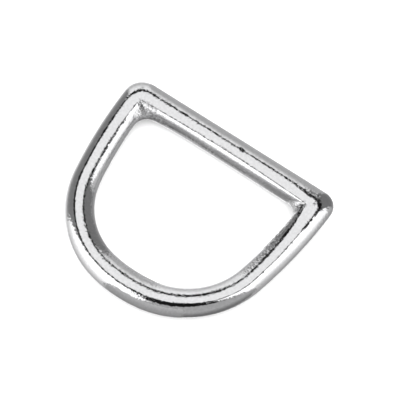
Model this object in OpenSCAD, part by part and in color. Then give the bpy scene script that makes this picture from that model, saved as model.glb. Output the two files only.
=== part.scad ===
// D ring: one cast and plated ring with a straight bar, two bowed legs and a round bow.
// It lies flat on its underside. X runs along the bar, the bow points to -Y, and the
// origin is the middle of the underside of its bounding box.

/* [Opening] */
// Clear width of the opening along the bar, which is the width of the strap it takes
strap_width = 25; // [20:0.5:32]
// Clear depth of the opening, from the bar to the crown of the bow
opening_depth = 19.6; // [16:0.1:26]

/* [Stock] */
// Width of the bar, seen from above
bar_width = 3.9; // [3:0.1:5]
// Width of each leg, seen from above
leg_width = 3.9; // [3:0.1:5]
// Width of the crown, where the bow is thickest
crown_width = 4.35; // [3:0.05:5.5]
// Height of the ring, from its underside to its top
ring_height = 3.1; // [2.2:0.1:4]
// Width of the flat land on the top and on the underside
land_width = 0.45; // [0.2:0.05:1.2]

/* [Bow] */
// Radius that the inner side of a leg bows to
leg_bow_radius = 65; // [50:1:100]
// Turn of each half of the crown arc, in degrees
crown_turn = 10; // [4:1:20]
// Radius of the inner crown arc over that of the arc beside it, 1 where both are one arc
inner_crown_flatness = 1.9; // [1:0.1:3]
// The same for the outer side
outer_crown_flatness = 1.35; // [1:0.05:2.5]

/* [Corners] */
// Radius of the land's outer edge round a corner, seen from above
corner_land_radius = 0.5; // [0.2:0.05:1.6]
// Radius of the cast web inside a corner, at half height
web_radius = 2; // [0.8:0.1:2.6]
// Radius inside a corner at the lands, where the two walls meet in a crease
crease_radius = 0.2; // [0.1:0.05:0.5]

/* [Hidden] */

// Steps round each half of the cross-section, and along each stretch of half the ring
edge_steps = 12;
corner_steps = 8;
leg_steps = 5;
side_steps = 15;
crown_steps = 4;
bow_steps = side_steps + crown_steps;

half_height = ring_height / 2;
inner_half = strap_width / 2;
bar_outer_y = (bar_width + opening_depth + crown_width) / 2;
bar_inner_y = bar_outer_y - bar_width;
crown_inner_y = bar_inner_y - opening_depth;
crown_outer_y = crown_inner_y - crown_width;

// How far in from the side the rounding of an edge reaches, for a stock of this width
function reach(width) = (width - land_width) / 2;
bar_reach = reach(bar_width);
leg_reach = reach(leg_width);

// The outside of a corner runs from the bar to the top of the leg, square to the bar
corner_radius = corner_land_radius + max(bar_reach, leg_reach);
corner_centre = [inner_half + leg_width - corner_radius, bar_outer_y - corner_radius];

// The inner and the outer side of a leg bow about one centre, level with its top
leg_centre = [inner_half - leg_bow_radius, corner_centre.y];

// The three arcs of a side that run smoothly into each other, from the leg to the crown's
// middle: each is [centre, radius, turn at its end], and a turn counts from square to the
// bar. The side arc touches the leg's arc and the crown's arc, so its radius solves
// a*r^2 + 2*b*r + c = 0, with its centre at the crown's middle plus r times lean.
function side_arcs(leg_radius, crown_y, flatness) =
    let (crown = [0, crown_y],
         lean = [(flatness - 1) * sin(crown_turn),
                 flatness - (flatness - 1) * cos(crown_turn)],
         span = crown - leg_centre,
         a = lean * lean - 1,
         b = span * lean + leg_radius,
         c = span * span - leg_radius * leg_radius,
         side_radius = -c / (b + sqrt(b * b - a * c)),
         side_centre = crown + side_radius * lean,
         drop = side_centre - leg_centre)
    [[leg_centre, leg_radius, atan2(-drop.y, drop.x)],
     [side_centre, side_radius, 90 - crown_turn],
     [crown + [0, flatness * side_radius], flatness * side_radius, 90]];

inner_arcs = side_arcs(leg_bow_radius, crown_inner_y, inner_crown_flatness);
outer_arcs = side_arcs(leg_bow_radius + leg_width, crown_outer_y, outer_crown_flatness);

// Point a share of the way along an arc that starts at this turn, moved out from it
function arc_point(arc, start, along, out) =
    let (turn = start + (arc[2] - start) * along)
    arc[0] + (arc[1] + out) * [cos(turn), -sin(turn)];

// Point i of the bow_steps along a side's bow: on its side arc, and then on its crown arc
function bow_point(arcs, i, out) =
    i <= side_steps
    ? arc_point(arcs[1], arcs[0][2], i / side_steps, out)
    : arc_point(arcs[2], arcs[1][2], (i - side_steps) / crown_steps, out);
bow_reach = [for (i = [1 : bow_steps])
    reach(norm(bow_point(outer_arcs, i, 0) - bow_point(inner_arcs, i, 0)))];
function bow_row(arcs, share) =
    [for (i = [1 : bow_steps]) bow_point(arcs, i, share * bow_reach[i - 1])];

// Right half of the outer side from the bar to the crown, with its rounding taken in by
// share: 0 at half height, 1 at the land
function outer_row(share) = concat(
    [for (i = [0 : corner_steps])
        let (turn = 90 - 90 * i / corner_steps,
             inset = share * (bar_reach + (leg_reach - bar_reach) * i / corner_steps))
        corner_centre + (corner_radius - inset) * [cos(turn), sin(turn)]],
    [for (i = [1 : leg_steps])
        arc_point(outer_arcs[0], 0, i / leg_steps, -share * leg_reach)],
    bow_row(outer_arcs, -share));

// The same for the inner side. Its corner is an arc that touches the bar's and the leg's
// wall, wide at half height, where the web is, and nearly sharp at the lands.
function inner_row(share) =
    let (radius = crease_radius + (web_radius - crease_radius) * pow(1 - share, 2),
         centre_y = bar_inner_y + share * bar_reach - radius,
         centre_out = leg_bow_radius + share * leg_reach - radius,
         web_turn = asin((leg_centre.y - centre_y) / centre_out),
         centre = [leg_centre.x + centre_out * cos(web_turn), centre_y])
    concat(
    [for (i = [0 : corner_steps])
        let (turn = 90 - (90 + web_turn) * i / corner_steps)
        centre + radius * [cos(turn), sin(turn)]],
    [for (i = [1 : leg_steps])
        arc_point(inner_arcs[0], web_turn, i / leg_steps, share * leg_reach)],
    bow_row(inner_arcs, share));

// A closed loop from a right half, at a height above the underside
function loop(row, height) = concat(
    [for (p = row) [p.x, p.y, height]],
    [for (i = [len(row) - 2 : -1 : 0]) [-row[i].x, row[i].y, height]]);

// The cross-section is an oval with two lands: up the outer side and down the inner side
edge_angles = [for (i = [0 : edge_steps]) -90 + 180 * i / edge_steps];
function level(angle) = half_height * (1 + sin(angle));
loops = concat(
    [for (a = edge_angles) loop(outer_row(1 - cos(a)), level(a))],
    [for (a = edge_angles) loop(inner_row(1 - cos(a)), level(-a))]);

module d_ring() {
    rows = len(loops);
    columns = len(loops[0]);
    points = [for (l = loops) each l];
    faces = [for (r = [0 : rows - 1], c = [0 : columns - 1])
        let (up = (r + 1) % rows, on = (c + 1) % columns)
        [r * columns + c, r * columns + on, up * columns + on, up * columns + c]];
    color([0.78, 0.78, 0.8]) polyhedron(points, faces);
}

d_ring();
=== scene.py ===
import math

import bpy
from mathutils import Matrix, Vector


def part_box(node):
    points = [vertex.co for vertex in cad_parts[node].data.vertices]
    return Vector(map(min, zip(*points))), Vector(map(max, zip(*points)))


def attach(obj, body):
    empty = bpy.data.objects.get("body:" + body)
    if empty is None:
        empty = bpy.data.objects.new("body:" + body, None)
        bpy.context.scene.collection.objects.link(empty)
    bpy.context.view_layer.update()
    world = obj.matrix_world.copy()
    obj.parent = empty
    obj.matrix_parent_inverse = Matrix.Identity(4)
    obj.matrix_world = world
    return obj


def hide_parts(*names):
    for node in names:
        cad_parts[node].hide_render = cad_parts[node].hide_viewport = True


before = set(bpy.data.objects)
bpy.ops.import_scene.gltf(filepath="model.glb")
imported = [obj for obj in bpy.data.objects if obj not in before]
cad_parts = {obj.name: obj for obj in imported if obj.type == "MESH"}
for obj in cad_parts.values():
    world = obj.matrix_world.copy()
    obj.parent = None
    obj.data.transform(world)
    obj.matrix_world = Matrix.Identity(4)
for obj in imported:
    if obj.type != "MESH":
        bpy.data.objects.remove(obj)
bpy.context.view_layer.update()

# The D ring: one piece, cast in zinc alloy with a straight bar, two bowed legs and a round
# bow, then tumbled and plated bright with nickel. It has no fixings: a strap is sewn round
# the bar. The tree below sweeps its oval section round the same arcs as the solid's.
MM = 0.001
ring_low, ring_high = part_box("d_ring")
ring_size = ring_high - ring_low
bar_width = 3.9 * MM
leg_width = 3.9 * MM
crown_width = 4.35 * MM
ring_sizes = {
    # In plan, at half height
    "Strap Width": ring_size.x - 2 * leg_width,
    "Opening Depth": ring_size.y - bar_width - crown_width,
    "Bar Width": bar_width,
    "Leg Width": leg_width,
    "Crown Width": crown_width,
    "Ring Height": ring_size.z,
    # The land is the flat on the top and on the underside: how wide it is, and how far
    # outwards from the middle of the stock
    "Bar Land Width": 0.66 * MM,
    "Bow Land Width": 0.12 * MM,
    "Bar Land Shift": -0.48 * MM,
    "Bow Land Shift": 0.25 * MM,
    # How much further outwards the land lies on the right of the bow, and how much its
    # outer edge alone does on the right leg
    "Right Land Wander": 0.12 * MM,
    "Right Edge Wander": 0.2 * MM,
    # How much wider the land is beside a corner, on its inner side
    "Right Bar Gain": 0.5 * MM,
    "Left Bar Gain": 0.5 * MM,
    "Right Leg Gain": 1.3 * MM,
    "Left Leg Gain": 0.6 * MM,
    # How far the land's outer edge dips inwards round the right corner, and how much
    # further in the bar's inner wall is beside the left web
    "Right Corner Dip": 0.42 * MM,
    "Left Bar Step": 0.3 * MM,
    # The bow: the radius that a leg's inner side bows to, how far the crown's arc turns on
    # each side of its middle, and its radius over that of the arc beside it
    "Leg Bow Radius": 65 * MM,
    "Crown Turn": math.radians(10),
    "Inner Crown Flatness": 1.9,
    "Outer Crown Flatness": 1.35,
    # The outside of a corner at half height and on the land, then the web inside it at half
    # height and the crease that the web becomes on the land
    "Corner Radius": 2.225 * MM,
    "Left Corner Radius": 2.7 * MM,
    "Corner Land Radius": 1.6 * MM,
    "Left Corner Land Radius": 2 * MM,
    "Web Radius": 2 * MM,
    "Left Web Radius": 2.1 * MM,
    "Crease Radius": 0.2 * MM,
    # How far from the corner of the opening the skin stays as it was cast
    "Web Spread": 3.4 * MM,
    # The skin: waves and a peel everywhere, and grain where it isn't polished
    "Wave Depth": 0.02 * MM,
    "Wave Length": 5 * MM,
    "Peel Depth": 0.012 * MM,
    "Peel Length": 0.5 * MM,
    "Grain Depth": 0.09 * MM,
    "Grain Length": 0.45 * MM,
}
skin_seed = 7
# Streaks: from one end to the other and how far each spreads in mm, and how grainy and how dark
# it is.
# The grainy ones are rough patches that the polishing missed, darkened too. The thin ones with no
# grain, along the top edges, are painted dark lines: painted shade that stands in for dark
# reflections.
streaks = [
    ((12.9, 8.3, 2.2), (12.5, 2.9, 2.3), 0.9, 0.8, 1.4),
    ((12.9, 10.2, 2.85), (13.5, 7.6, 3.0), 0.2, 0, 4),
    ((13.5, 7.6, 3.0), (13.4, 2.9, 3.03), 0.2, 0, 4),
    ((13.4, 2.9, 3.03), (12.8, -2.4, 3.05), 0.16, 0, 3),
    ((10.8, 12.0, 3.08), (13.4, 11.85, 3.08), 0.18, 0, 3),
    ((13.4, 11.85, 3.08), (14.75, 11.6, 3.05), 0.16, 0, 3),
    ((14.8, 11.7, 3.0), (15.15, 9.8, 3.02), 0.2, 0, 3),
    ((15.15, 9.8, 3.02), (15.0, 7.5, 3.02), 0.16, 0, 3),
    ((-9.0, 10.4, 2.2), (12.0, 10.3, 2.2), 0.6, 0.4, 0.2),
    ((12.9, 10.4, 2.7), (12.3, 9.8, 2.0), 0.8, 1, 0.6),
    ((14.0, 11.15, 3.1), (14.1, 11.15, 3.1), 0.3, 0, 1.2),
    ((-12.3, 9.2, 1.5), (-11.5, -1.0, 1.5), 1.2, 0.8, 0.25),
    ((-13.35, 7.0, 3.02), (-12.8, 1.0, 3.02), 0.18, 0, 3),
    ((-8.0, -9.0, 2.2), (-4.2, -10.5, 2.4), 0.6, 0.8, 0.2),
    ((-12.0, 10.0, 2.0), (-9.5, 10.3, 2.0), 1.1, 1, 0.5),
    ((-13.1, 10.5, 2.85), (-10.9, 10.6, 2.75), 0.6, 1, 0.7),
    ((-15.0, 9.6, 2.9), (-14.2, 12.2, 2.9), 0.35, 0.1, 0.7),
    ((-14.2, 12.2, 2.9), (-9.0, 12.35, 3.05), 0.3, 0.1, 0.6),
    ((1.55, 12.25, 3.1), (2.05, 12.2, 3.1), 0.28, 0.2, 5),
    ((12.8, 12.4, 2.95), (13.9, 12.5, 2.9), 0.35, 0.5, 0.8),
    ((14.2, 12.2, 2.9), (15.2, 11.0, 2.9), 0.4, 0.1, 0.9),
]
# Small dents: where, how wide and how deep in mm
dents = [
    ((14.05, 11.15, 3.1), 0.4, 0.012),
    ((15.85, 12.0, 2.6), 0.3, 0.03),
    ((15.6, 11.4, 2.7), 0.25, 0.02),
    ((-11.8, 1.8, 1.9), 0.35, 0.08),
    ((-11.8, 1.0, 2.1), 0.3, 0.06),
    ((-11.9, 3.0, 1.8), 0.25, 0.05),
    ((1.8, 12.2, 3.1), 0.3, 0.04),
]

# The mesh has stations along half the ring, counted from the middle of the bar, and rows
# round its section, counted from the underside up the outer side. Here each stretch ends.
bar_end, corner_end, leg_end, side_end, crown_middle = 120, 160, 226, 376, 406
outer_edge_end, top_land_end, inner_edge_end, section_end = 40, 44, 84, 88
merge_distance = 0.001 * MM

# What a corner does to the land and to the bar's inner wall fades by these powers along the
# leg, up to this station, and along the bar
fade_end = corner_end + 90
leg_dip_power, leg_gain_power = 2, 3
bar_dip_power, bar_gain_power, bar_step_power = 5, 1.5, 5
# The stations where the land and its outer edge wander on the right
land_wander_end = corner_end + 200
edge_wander_start, edge_wander_end = corner_end + 20, corner_end + 140
# The power by which a corner's radius changes from half height to the land
radius_power = 2


class Amount:
    """A number that the node tree works out. Sums and products of amounts add Math nodes."""

    def __init__(self, socket):
        self.socket = socket

    def __add__(self, other):
        return work_out("ADD", self, other)

    def __radd__(self, other):
        return work_out("ADD", other, self)

    def __sub__(self, other):
        return work_out("SUBTRACT", self, other)

    def __rsub__(self, other):
        return work_out("SUBTRACT", other, self)

    def __mul__(self, other):
        return work_out("MULTIPLY", self, other)

    def __rmul__(self, other):
        return work_out("MULTIPLY", other, self)

    def __truediv__(self, other):
        return work_out("DIVIDE", self, other)

    def __rtruediv__(self, other):
        return work_out("DIVIDE", other, self)

    def __pow__(self, other):
        return work_out("POWER", self, other)


def feed(node, inputs):
    """Links a node's inputs to amounts or other nodes' outputs, or sets plain values on them."""
    for name, source in inputs.items():
        socket = node.inputs[name]
        if isinstance(source, Amount):
            source = source.socket
        if isinstance(source, bpy.types.NodeSocket):
            node.id_data.links.new(source, socket)
        else:
            socket.default_value = source
    return node


def work_out(operation, *numbers, clamp=False):
    """What one Math node of the ring's tree makes of some numbers."""
    node = tree.nodes.new("ShaderNodeMath")
    node.operation = operation
    node.use_clamp = clamp
    feed(node, dict(enumerate(numbers)))
    return Amount(node.outputs[0])


def sine(turn):
    return work_out("SINE", turn)


def cosine(turn):
    return work_out("COSINE", turn)


def past(count, end):
    """1 where a count is past the end and 0 up to it. Half a step keeps rounding out of it."""
    return work_out("GREATER_THAN", count, end + 0.5)


def share_of(count, start, end):
    """How far a count has come from start to end, from 0 to 1."""
    return work_out("DIVIDE", count - start, end - start, clamp=True)


def fading(off):
    """From 1 where off is 0 down to 0 where it is 1 or more."""
    return work_out("SUBTRACT", 1, off, clamp=True)


def between(start, end, share):
    return start + (end - start) * share


def product(first, second):
    """The product of two directions: their parts multiplied and summed."""
    return first[0] * second[0] + first[1] * second[1] + first[2] * second[2]


def either(test, if_false, if_true):
    """One of two amounts, by a test that is 0 or 1."""
    node = tree.nodes.new("GeometryNodeSwitch")
    node.input_type = "FLOAT"
    feed(node, {"Switch": test, "False": if_false, "True": if_true})
    return Amount(node.outputs[0])


tree = bpy.data.node_groups.new("Cast ring", "GeometryNodeTree")
tree.is_modifier = True
for name, value in ring_sizes.items():
    item = tree.interface.new_socket(name, in_out="INPUT", socket_type="NodeSocketFloat")
    item.default_value = value
tree.interface.new_socket("Finish", in_out="INPUT", socket_type="NodeSocketMaterial")
tree.interface.new_socket("Geometry", in_out="OUTPUT", socket_type="NodeSocketGeometry")
group_in = tree.nodes.new("NodeGroupInput")
group_out = tree.nodes.new("NodeGroupOutput")
given = {name: Amount(group_in.outputs[name]) for name in ring_sizes}

# The grid's index gives each point its column along the whole ring and its row. Half a step
# is added first, so that rounding doesn't matter.
grid = feed(tree.nodes.new("GeometryNodeMeshGrid"),
            {"Vertices X": 2 * crown_middle + 1, "Vertices Y": section_end + 1})
index = Amount(tree.nodes.new("GeometryNodeInputIndex").outputs[0])
column = work_out("FLOOR", (index + 0.5) / (section_end + 1))
row = index - column * (section_end + 1)
past_crown = past(column, crown_middle)
station = crown_middle - work_out("ABSOLUTE", column - crown_middle)
# 1 on the right of the ring and -1 on its left
hand = 1 - 2 * past_crown

# Round the section: up the outer side, over the land, down the inner side and back under.
# How far a point is taken in from its wall goes from 0 at half height to 1 on the lands.
down_inside = share_of(row, top_land_end, inner_edge_end)
section_turn = (math.pi * share_of(row, 0, outer_edge_end) - math.pi * down_inside
                - math.pi / 2)
inwards = (share_of(row, outer_edge_end, top_land_end)
           - share_of(row, inner_edge_end, section_end))
taken_in = 1 - cosine(section_turn)
height = given["Ring Height"] / 2 * (1 + sine(section_turn))

# Along the half ring: bar, corner, leg, side of the bow and crown
on_bar = share_of(station, 0, bar_end)
on_corner = share_of(station, bar_end, corner_end)
on_leg = share_of(station, corner_end, leg_end)
on_side = share_of(station, leg_end, side_end)
on_crown = share_of(station, side_end, crown_middle)
past_corner = past(station, corner_end)
past_leg = past(station, leg_end)
past_side = past(station, side_end)

inner_half = given["Strap Width"] / 2
bar_outer_y = (given["Bar Width"] + given["Opening Depth"] + given["Crown Width"]) / 2
bar_inner_y = bar_outer_y - given["Bar Width"]
crown_inner_y = bar_inner_y - given["Opening Depth"]
crown_outer_y = crown_inner_y - given["Crown Width"]
bar_reach = (given["Bar Width"] - given["Bar Land Width"]) / 2
leg_reach = (given["Leg Width"] - given["Bow Land Width"]) / 2
corner_y = bar_outer_y - given["Corner Radius"]
leg_x = inner_half - given["Leg Bow Radius"]


def bow_arcs(leg_radius, crown_y, flatness):
    """Centre x and y, radius and end turn of the leg's, the side's and the crown's arc. The
    side's arc touches the other two, so its radius r solves a * r ** 2 + 2 * b * r + c = 0."""
    turn = given["Crown Turn"]
    lean_x = (flatness - 1) * sine(turn)
    lean_y = flatness - (flatness - 1) * cosine(turn)
    span_x = 0 - leg_x
    span_y = crown_y - corner_y
    a = lean_x * lean_x + lean_y * lean_y - 1
    b = span_x * lean_x + span_y * lean_y + leg_radius
    c = span_x * span_x + span_y * span_y - leg_radius * leg_radius
    side_radius = 0 - c / (b + work_out("SQRT", b * b - a * c))
    side_x = side_radius * lean_x
    side_y = crown_y + side_radius * lean_y
    leg_turn = work_out("ARCTAN2", corner_y - side_y, side_x - leg_x)
    crown_radius = flatness * side_radius
    return ((leg_x, corner_y, leg_radius, leg_turn),
            (side_x, side_y, side_radius, math.pi / 2 - turn),
            (0, crown_y + crown_radius, crown_radius, math.pi / 2))


def on_bow(arcs, leg_start):
    """Centre, radius and turn at each station past the corner."""
    leg, side, crown = arcs
    turn = between(leg_start, leg[3], on_leg)
    turn = either(past_leg, turn, between(leg[3], side[3], on_side))
    turn = either(past_side, turn, between(side[3], crown[3], on_crown))
    centre_radius = [either(past_side, either(past_leg, leg[i], side[i]), crown[i])
                     for i in range(3)]
    return *centre_radius, turn


def at_turn(x, y, radius, turn):
    """The place on an arc. Turns count from straight out beside it towards the crown."""
    return x + radius * cosine(turn), y - radius * sine(turn)


def corner(bar_y, leg_out, radius):
    """A corner's arc, which touches the bar's wall and the leg's arc: the turn where it
    meets the leg, and the place at each station from the middle of the bar up to there."""
    centre_y = bar_y - radius
    out = leg_out - radius
    end = work_out("ARCSINE", (corner_y - centre_y) / out)
    centre_x = leg_x + out * cosine(end)
    turn = math.pi / 2 - (math.pi / 2 + end) * on_corner
    return end, (centre_x * on_bar + radius * cosine(turn), centre_y + radius * sine(turn))


# The outside of the bar and its corners. The dip in the land's edge fades along the bar.
outside_radius = either(past_crown, given["Corner Radius"], given["Left Corner Radius"])
land_radius = either(past_crown, given["Corner Land Radius"], given["Left Corner Land Radius"])
corner_dip = taken_in * either(past_crown, given["Right Corner Dip"], 0)
outer_end, outer_start = corner(
    bar_outer_y - taken_in * (bar_reach - given["Bar Land Shift"]) - corner_dip,
    given["Leg Bow Radius"] + given["Leg Width"]
    - taken_in * (leg_reach - given["Bow Land Shift"]) - corner_dip,
    between(outside_radius, land_radius, taken_in ** radius_power))
outer_start = (outer_start[0], outer_start[1] + corner_dip * (1 - on_bar ** bar_dip_power))

# The inside of the bar and its webs. A web is wide at half height and nearly a crease on
# the land, which widens inwards beside it, most of all on the right leg.
inside_radius = either(past_crown, given["Web Radius"], given["Left Web Radius"])
bar_gain = taken_in * either(past_crown, given["Right Bar Gain"], given["Left Bar Gain"])
leg_gain = taken_in * either(past_crown, given["Right Leg Gain"], given["Left Leg Gain"])
bar_step = (1 - taken_in) * either(past_crown, 0, given["Left Bar Step"])
inner_end, inner_start = corner(
    bar_inner_y - bar_step + taken_in * (bar_reach + given["Bar Land Shift"]) - bar_gain,
    given["Leg Bow Radius"] + taken_in * (leg_reach + given["Bow Land Shift"]) - leg_gain,
    between(given["Crease Radius"], inside_radius, (1 - taken_in) ** radius_power))
inner_start = (inner_start[0],
               inner_start[1] + bar_gain * (1 - on_bar ** bar_gain_power)
               + bar_step * (1 - on_bar ** bar_step_power))

# The legs and the bow, whose land strays outwards on the right
outer_arcs = bow_arcs(given["Leg Bow Radius"] + given["Leg Width"], crown_outer_y,
                      given["Outer Crown Flatness"])
inner_arcs = bow_arcs(given["Leg Bow Radius"], crown_inner_y, given["Inner Crown Flatness"])
outer_x, outer_y, outer_radius, outer_turn = on_bow(outer_arcs, outer_end)
inner_x, inner_y, inner_radius, inner_turn = on_bow(inner_arcs, inner_end)
wide_out = at_turn(outer_x, outer_y, outer_radius, outer_turn)
wide_in = at_turn(inner_x, inner_y, inner_radius, inner_turn)
wide = work_out("SQRT", (wide_out[0] - wide_in[0]) ** 2 + (wide_out[1] - wide_in[1]) ** 2)
reach = either(past_leg, leg_reach, (wide - given["Bow Land Width"]) / 2)
bow_shift = (given["Bow Land Shift"] + either(past_crown, given["Right Land Wander"], 0)
             * sine(math.pi * share_of(station, corner_end, land_wander_end)))
edge_wander = (taken_in * either(past_crown, given["Right Edge Wander"], 0)
               * sine(math.pi * share_of(station, edge_wander_start, edge_wander_end)))
near_corner = 1 - share_of(station, corner_end, fade_end)
outer_bow = at_turn(outer_x, outer_y,
                    outer_radius - taken_in * (reach - bow_shift) + edge_wander
                    - corner_dip * near_corner ** leg_dip_power, outer_turn)
inner_bow = at_turn(inner_x, inner_y,
                    inner_radius + taken_in * (reach + bow_shift)
                    - leg_gain * near_corner ** leg_gain_power, inner_turn)
across, down = (
    between(either(past_corner, outer_start[i], outer_bow[i]),
            either(past_corner, inner_start[i], inner_bow[i]), inwards)
    for i in range(2))
spot = (hand * across, down, height)
place = feed(tree.nodes.new("ShaderNodeCombineXYZ"), dict(enumerate(spot)))

# Inside a corner the tumbling does not reach, and the skin stays grainy as it was cast. That
# begins a little below the land, and soon is full.
cast_skin_start = 0.12
cast_skin_growth = 6
corner_off = work_out("SQRT", (across - inner_half) ** 2 + (down - bar_inner_y) ** 2)
unpolished = (fading(corner_off / given["Web Spread"])
              * work_out("MULTIPLY", down_inside - cast_skin_start, cast_skin_growth,
                         clamp=True))

# A thin dark line is painted where the bar's land meets its inner side: painted shade that stands
# in for a dark reflection.
# Its middle is this many rows down, and so is half its width. It ends soon where a corner begins.
painted_line_rows = 1.5
painted_line_power = 8
rows_down = (inner_edge_end - top_land_end) * down_inside
# Painted shade: a dark line that stands in for a dark reflection along the bar's inner shoulder
painted_dark_line = ((1 - on_corner) ** painted_line_power
            * fading(work_out("ABSOLUTE", rows_down - painted_line_rows) / painted_line_rows))

# Tarnish and painted shade: a little tarnish everywhere, more where it isn't polished, and most
# in the dark line, which is painted shade
least_tarnish, cast_skin_tarnish, painted_line_darkness = 0.06, 0.3, 1.2
tarnish_and_painted_shade = work_out("MAXIMUM", least_tarnish + cast_skin_tarnish * unpolished,
                     painted_line_darkness * painted_dark_line)
# Each streak darkens the plating: the grainy ones as rough patches, the thin ones as painted
# shade for dark reflected lines
for start, end, spread, grain, tarnish_and_shade in streaks:
    off = [now - at * MM for now, at in zip(spot, start)]
    run = [(to - at) * MM for at, to in zip(start, end)]
    along = work_out("DIVIDE", product(off, run), product(run, run), clamp=True)
    left = [part - along * whole for part, whole in zip(off, run)]
    streak = fading(work_out("SQRT", product(left, left)) / (spread * MM))
    unpolished = work_out("MAXIMUM", unpolished, grain * streak)
    tarnish_and_painted_shade = work_out("MAXIMUM", tarnish_and_painted_shade, tarnish_and_shade * streak)
dented = 0
for centre, width, depth in dents:
    off = [(now - at * MM) / (width * MM) for now, at in zip(spot, centre)]
    near = fading(product(off, off))
    dented = dented + depth * MM * near * near


def put_through(kind, inputs):
    """What the geometry made so far becomes in one more node of the ring's tree."""
    return feed(tree.nodes.new(kind), {0: made, **inputs}).outputs[0]


# The marks are stored on the grid's points, and the grid is bent into the ring and closed
made = grid.outputs[0]
for name, amount in (("unpolished", unpolished), ("tarnish_and_painted_shade", tarnish_and_painted_shade), ("dented", dented)):
    made = put_through("GeometryNodeStoreNamedAttribute", {"Name": name, "Value": amount})
made = put_through("GeometryNodeSetPosition", {"Position": place.outputs[0]})
made = put_through("GeometryNodeMergeByDistance", {"Distance": merge_distance})
made = put_through("GeometryNodeFlipFaces", {})


def noise_of(length, detail):
    """Noise from 0 to 1 with swells about as long as given, over the ring's own surface."""
    node = tree.nodes.new("ShaderNodeTexNoise")
    node.noise_dimensions = "4D"
    feed(node, {"Vector": surface.outputs[0], "W": skin_seed,
                "Scale": 1 / length, "Detail": detail})
    return Amount(node.outputs[0])


def stored_amount(name):
    node = feed(tree.nodes.new("GeometryNodeInputNamedAttribute"), {"Name": name})
    return Amount(node.outputs["Attribute"])


# The cast skin under the plating: long waves from the tumbling and a fine peel, all inwards
surface = tree.nodes.new("GeometryNodeInputPosition")
relief = (0 - given["Wave Depth"] * noise_of(given["Wave Length"], detail=1)
          - given["Peel Depth"] * noise_of(given["Peel Length"], detail=2)
          - given["Grain Depth"] * stored_amount("unpolished")
          * noise_of(given["Grain Length"], detail=2)
          - stored_amount("dented"))
outwards = tree.nodes.new("GeometryNodeInputNormal")
offset = tree.nodes.new("ShaderNodeVectorMath")
offset.operation = "SCALE"
feed(offset, {0: outwards.outputs[0], "Scale": relief})
made = put_through("GeometryNodeSetPosition", {"Offset": offset.outputs[0]})
made = put_through("GeometryNodeSetShadeSmooth", {})
made = put_through("GeometryNodeRealizeInstances", {})
made = put_through("GeometryNodeSetMaterial", {"Material": group_in.outputs["Finish"]})
feed(group_out, {"Geometry": made})

# The plating: bright nickel, with dark specks of tarnish, and painted shade where the dark lines
# are painted
clean_nickel = (0.78, 0.78, 0.79, 1)
tarnish_and_shade_dark = (0.07, 0.07, 0.07, 1)
polished_roughness, cast_roughness = 0.05, 0.18
fine_peel_length, fine_peel_depth = 0.3 * MM, 0.02 * MM
pit_length, pit_depth = 0.35 * MM, 0.16 * MM
# The pits' noise is clean down to the first height and wholly dark from the second
clean_height, dark_height = 0.62, 0.42
plating = bpy.data.materials.new("Bright plating")
plating.use_nodes = True
plating_nodes = plating.node_tree.nodes


def stored_share(nodes, name):
    """What is stored on the points of a mesh under a name, for the nodes of a material."""
    node = nodes.new("ShaderNodeAttribute")
    node.attribute_name = name
    return node.outputs["Fac"]


# Fine peel everywhere, which makes the edges of what it mirrors ragged, and coarser pits
# with a duller finish where it was not polished
on_ring = plating_nodes.new("ShaderNodeTexCoord").outputs["Object"]
skin = stored_share(plating_nodes, "unpolished")
peel = feed(plating_nodes.new("ShaderNodeTexNoise"),
            {"Vector": on_ring, "Scale": 1 / fine_peel_length, "Detail": 2})
pits = feed(plating_nodes.new("ShaderNodeTexNoise"),
            {"Vector": on_ring, "Scale": 1 / pit_length, "Detail": 3})
peeled = feed(plating_nodes.new("ShaderNodeBump"),
              {"Strength": 1, "Distance": fine_peel_depth, "Height": peel.outputs["Fac"]})
pitted = feed(plating_nodes.new("ShaderNodeBump"),
              {"Strength": skin, "Distance": pit_depth, "Height": pits.outputs["Fac"],
               "Normal": peeled.outputs["Normal"]})
specks = feed(plating_nodes.new("ShaderNodeMapRange"),
              {"Value": pits.outputs["Fac"], "From Min": clean_height,
               "From Max": dark_height})
darkness = plating_nodes.new("ShaderNodeMath")
darkness.operation = "MULTIPLY"
darkness.use_clamp = True
# How dark the specks get: tarnish, and painted shade in the painted dark lines
feed(darkness, {0: specks.outputs["Result"], 1: stored_share(plating_nodes, "tarnish_and_painted_shade")})
tint = plating_nodes.new("ShaderNodeMix")
tint.data_type = "RGBA"
feed(tint, {"Factor": darkness.outputs[0], "A": clean_nickel, "B": tarnish_and_shade_dark})
dulled = feed(plating_nodes.new("ShaderNodeMapRange"),
              {"Value": skin, "To Min": polished_roughness, "To Max": cast_roughness})
feed(plating_nodes["Principled BSDF"],
     {"Metallic": 1, "Base Color": tint.outputs["Result"],
      "Roughness": dulled.outputs["Result"], "Normal": pitted.outputs["Normal"]})

ring = bpy.data.objects.new("plated_ring", bpy.data.meshes.new("plated_ring"))
bpy.context.scene.collection.objects.link(ring)
sweep = ring.modifiers.new("Cast ring", "NODES")
sweep.node_group = tree
for item in tree.interface.items_tree:
    if item.name == "Finish":
        sweep[item.identifier] = plating
    elif item.in_out == "INPUT":
        sweep[item.identifier] = ring_sizes[item.name]
bpy.context.view_layer.update()
shape = bpy.data.meshes.new_from_object(ring.evaluated_get(bpy.context.evaluated_depsgraph_get()))
ring.modifiers.clear()
ring.data = shape
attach(ring, "root")
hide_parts("d_ring")

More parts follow.
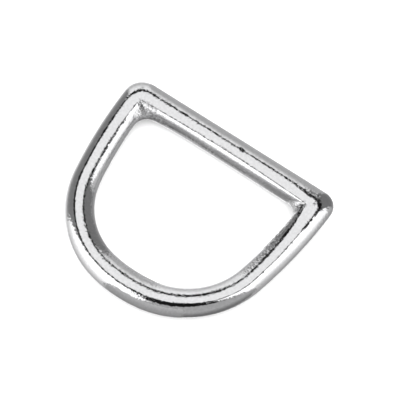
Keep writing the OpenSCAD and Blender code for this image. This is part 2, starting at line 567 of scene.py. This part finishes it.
# The floor: a plain sheet of pale matt card that the ring lies on, a hair under the ring.
# The metal doesn't mirror it, but the lower parts of the cards, which go down past it: their glow
# there is a painted reflection of the floor, with painted shadow, darker in front where the
# ring's shadow would fall and brighter behind where the floor is lit.
floor_half = 2
floor_z = -0.02 * MM
pale_card = (0.9, 0.9, 0.9, 1)
floor_mesh = bpy.data.meshes.new("floor")
floor_mesh.from_pydata([(x * floor_half, y * floor_half, floor_z)
                        for x, y in ((-1, -1), (1, -1), (1, 1), (-1, 1))], [], [(0, 1, 2, 3)])
floor_paint = bpy.data.materials.new("Pale floor")
floor_paint.use_nodes = True
feed(floor_paint.node_tree.nodes["Principled BSDF"],
     {"Base Color": pale_card, "Roughness": 1, "Specular IOR Level": 0})
floor_mesh.materials.append(floor_paint)
floor = bpy.data.objects.new("floor", floor_mesh)
bpy.context.scene.collection.objects.link(floor)
floor.visible_glossy = False

# The camera looks down at the ring as the photograph does, from the right of the bow and
# through a long lens. It aims a little to the right of the opening and towards the bar.
camera_azimuth = math.radians(35.07)
camera_elevation = math.radians(64.5)
camera_distance = 446.76 * MM
camera_aim = Vector((1.12, 3.62, 1.55)) * MM
sensor_width = 36
lens_length = 306
nearest, farthest = 0.01, 10
backwards = Vector((math.sin(camera_azimuth) * math.cos(camera_elevation),
                    -math.cos(camera_azimuth) * math.cos(camera_elevation),
                    math.sin(camera_elevation)))
camera_data = bpy.data.cameras.new("camera")
camera_data.sensor_width = sensor_width
camera_data.lens = lens_length
camera_data.clip_start = nearest
camera_data.clip_end = farthest
camera = bpy.data.objects.new("camera", camera_data)
camera.location = camera_aim + backwards * camera_distance
camera.rotation_euler = (-backwards).to_track_quat("-Z", "Y").to_euler()
bpy.context.scene.collection.objects.link(camera)
bpy.context.scene.camera = camera

# The studio: a white room, closed above by a dark canopy with a round light under it, and
# plain cards round the table. Only the metal mirrors these. Turns run anticlockwise from the
# camera's right, seen from above, and all turns and rises of cards are in degrees.
room_white = 2.2
world = bpy.data.worlds.new("studio")
world.use_nodes = True
feed(world.node_tree.nodes["Background"], {"Color": (1, 1, 1, 1), "Strength": room_white})
bpy.context.scene.world = world
bpy.context.scene.view_settings.view_transform = "Standard"

# Steps of a standing card from edge to edge and from foot to top, and of a round one round
# its rim. Then the rise of a standing card's foot, and how far above and below the table's
# level its middle and its lowest glow are.
card_steps, rise_steps, round_steps = 12, 60, 48
card_foot = -88
middle_rise = 25
lower_drop = 40
card_light = bpy.data.materials.new("Card light")
card_light.use_nodes = True
card_nodes = card_light.node_tree.nodes
card_nodes.clear()
card_emission = feed(card_nodes.new("ShaderNodeEmission"),
                     {"Strength": stored_share(card_nodes, "glow")})
feed(card_nodes.new("ShaderNodeOutputMaterial"), {"Surface": card_emission.outputs[0]})


def card(name, corners, faces, glows):
    """A card that only what is glossy sees, with how bright it is at each of its corners."""
    mesh = bpy.data.meshes.new(name)
    turn = math.cos(camera_azimuth), math.sin(camera_azimuth)
    mesh.from_pydata([(x * turn[0] - y * turn[1], x * turn[1] + y * turn[0], z)
                      for x, y, z in corners], [], faces)
    mesh.attributes.new("glow", "FLOAT", "POINT").data.foreach_set("value", glows)
    mesh.materials.append(card_light)
    made = bpy.data.objects.new(name, mesh)
    made.visible_camera = made.visible_diffuse = made.visible_shadow = False
    bpy.context.scene.collection.objects.link(made)


def round_card(name, right, far, radius, above, glow):
    """A level round card overhead. Its place and radius are given as parts of its height."""
    turns = [2 * math.pi * i / round_steps for i in range(round_steps)]
    corners = [((right + radius * math.cos(turn)) * above,
                (far + radius * math.sin(turn)) * above, above) for turn in turns]
    card(name, corners, [tuple(range(round_steps))], [glow] * round_steps)


def standing_card(name, start, end, top, glows, distance=1.0):
    """A card round the table, from one edge to another. An edge is its turn at the table and
    at the top, and the top is its rise at each edge. The glows are at the top, at the middle
    rise, level with the table and at the lower drop. A card at a shorter distance in metres
    hides others, and one close to the ring is mirrored higher by the bow than by the bar."""
    corners, glow = [], []
    for i in range(card_steps + 1):
        share = i / card_steps
        high = between(top[0], top[1], share)
        for k in range(rise_steps + 1):
            rise = card_foot + (high - card_foot) * k / rise_steps
            up = max(0, rise / high)
            turn = math.radians(between(between(start[0], start[1], up),
                                        between(end[0], end[1], up), share))
            slope = math.radians(rise)
            corners.append((distance * math.cos(turn) * math.cos(slope),
                            distance * math.sin(turn) * math.cos(slope),
                            distance * math.sin(slope)))
            if rise > middle_rise:
                upper_share = (rise - middle_rise) / (high - middle_rise)
                glow.append(between(glows[1], glows[0], upper_share))
            elif rise > 0:
                glow.append(between(glows[2], glows[1], rise / middle_rise))
            else:
                # Below the table: a painted reflection of the floor, with painted shadow where
                # the glow is darker
                glow.append(between(glows[2], glows[3], min(1, -rise / lower_drop)))
    stride = rise_steps + 1
    faces = [(i * stride + k, (i + 1) * stride + k, (i + 1) * stride + k + 1, i * stride + k + 1)
             for i in range(card_steps) for k in range(rise_steps)]
    card(name, corners, faces, glow)


round_card("overhead_light", right=0.05, far=0.33, radius=0.40, above=0.5, glow=1.06)
round_card("dark_canopy", right=0, far=0, radius=2.4, above=1.1, glow=0.01)
standing_card("front_card", (213, 235), (328, 306), (56, 56), (0.45, 0.45, 0.47, 0.2), 0.98)
standing_card("low_front_card", (217, 222), (270, 270), (27.7, 27.7), (0.6, 0.56, 0.42, 0.3),
              0.0336)
standing_card("low_left_card", (213, 217), (232, 232), (18, 18), (1, 1, 0.56, 0.15), 0.97)
standing_card("front_left_light", (163, 163), (207, 207), (64, 72), (1.7, 1.5, 0.95, 0.55))
standing_card("front_middle_light", (207, 207), (224, 224), (72, 56), (1.7, 1.5, 0.95, 0.55))
standing_card("front_low_light", (224, 224), (240, 240), (56, 56), (1.7, 1.5, 0.95, 0.55))
standing_card("front_right_light", (-32, -54), (14, 14), (77, 61), (1.7, 1.4, 0.8, 0.46))
standing_card("low_right_card", (-14, 10), (14, 14), (38, 38), (1.2, 0.62, 0.5, 0.4), 0.95)
standing_card("right_card", (14, 14), (60, 66), (57, 45), (0.2, 0.2, 0.21, 0.45))
standing_card("back_right_card", (60, 66), (78, 78), (45, 45), (1.1, 0.5, 0.47, 0.6))
standing_card("back_card", (78, 78), (101, 101), (45, 36), (1.12, 0.96, 0.5, 1.5))
standing_card("back_left_card", (101, 101), (119, 111), (46, 47), (1.12, 0.96, 0.5, 1.5))
standing_card("left_card", (119, 112), (163, 163), (40, 61), (0.23, 0.23, 0.3, 1.1))
